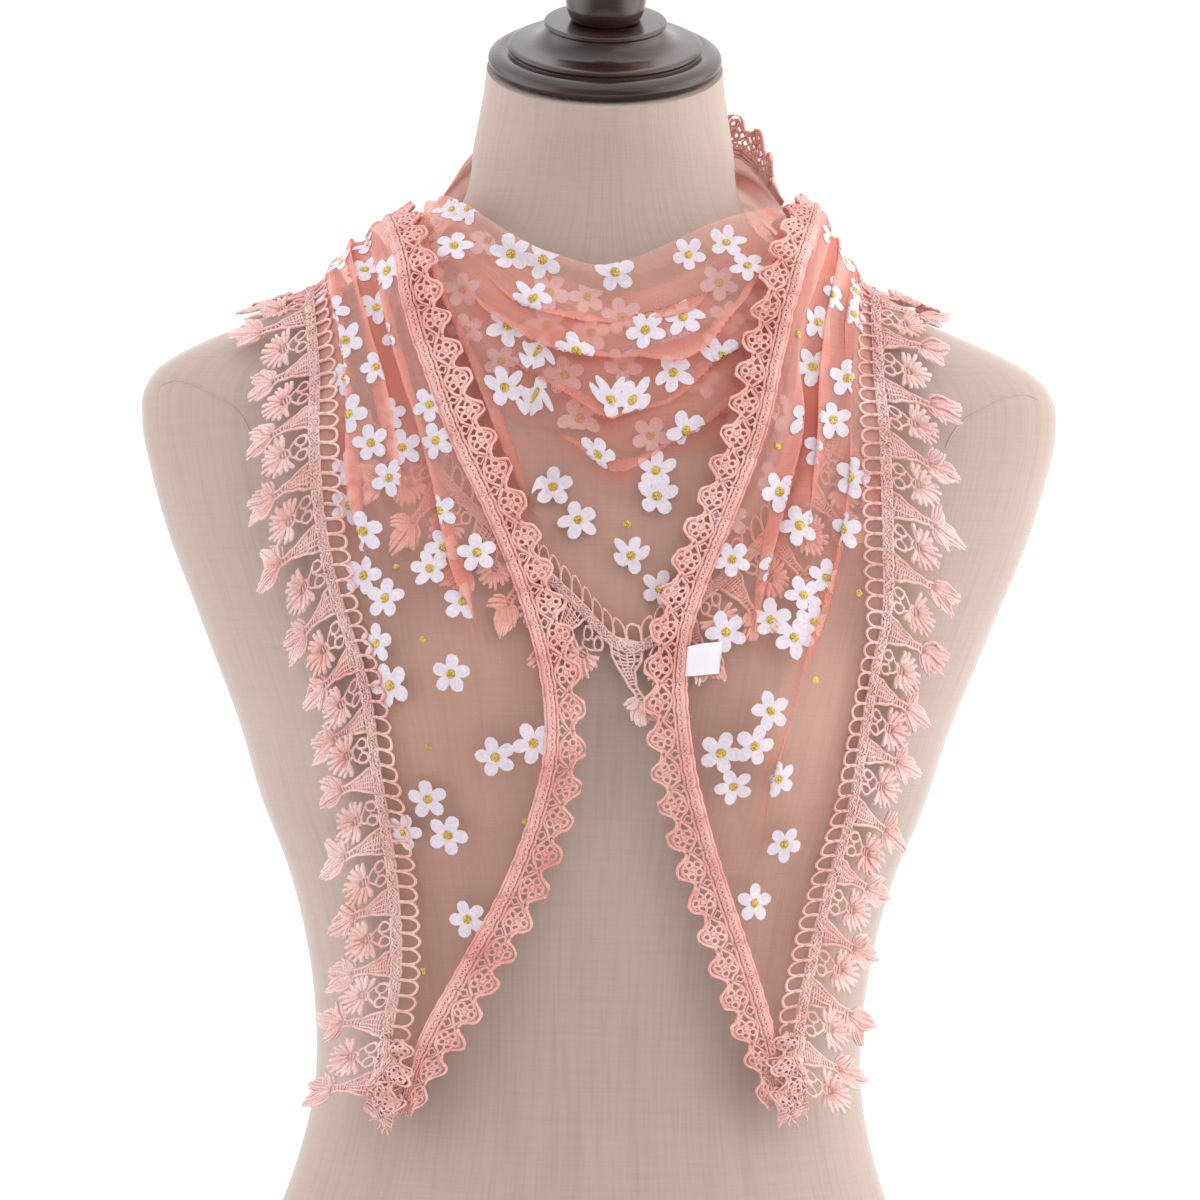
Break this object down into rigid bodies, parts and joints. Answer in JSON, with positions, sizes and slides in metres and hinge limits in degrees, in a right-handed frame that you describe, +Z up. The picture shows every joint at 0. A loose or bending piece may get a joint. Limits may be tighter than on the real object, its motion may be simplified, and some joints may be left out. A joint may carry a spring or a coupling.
{
  "type": "lace shawl on dress form",
  "caption": "Triangular sheer shawl with scalloped edging and tasselled lace, wound round the neck of a limbless linen dress form with a turned-wood neck cap.",
  "frame": {"origin": "centre of the dress form's flat underside, on the surface it stands on", "axes": "+Z up along the form, -Y towards the form's front, +X towards the right of someone looking at the front"},
  "size_m": [0.392, 0.2388, 0.6862],
  "materials": {
    "linen": "matt slubbed weave",
    "dark_wood": "gloss varnish",
    "voile": "sheer, faint sheen",
    "lace": "soft corded thread",
    "label_white": "smooth satin tape, bare"
  },
  "bodies": {
    "root": {"care_label": "label_white", "dress_form": "linen", "edging_tail_left": "lace", "edging_tail_right": "lace", "edging_wrap_left": "lace", "edging_wrap_right": "lace", "fringe_bib": "lace", "fringe_tail_left": "lace", "fringe_tail_right": "lace", "fringe_wrap_left": "lace", "fringe_wrap_right": "lace", "neck_cap": "dark_wood", "neck_knob": "dark_wood", "voile_bib": "voile", "voile_tail_left": "voile", "voile_tail_right": "voile", "voile_wrap_left": "voile", "voile_wrap_right": "voile"}
  },
  "joints": []
}
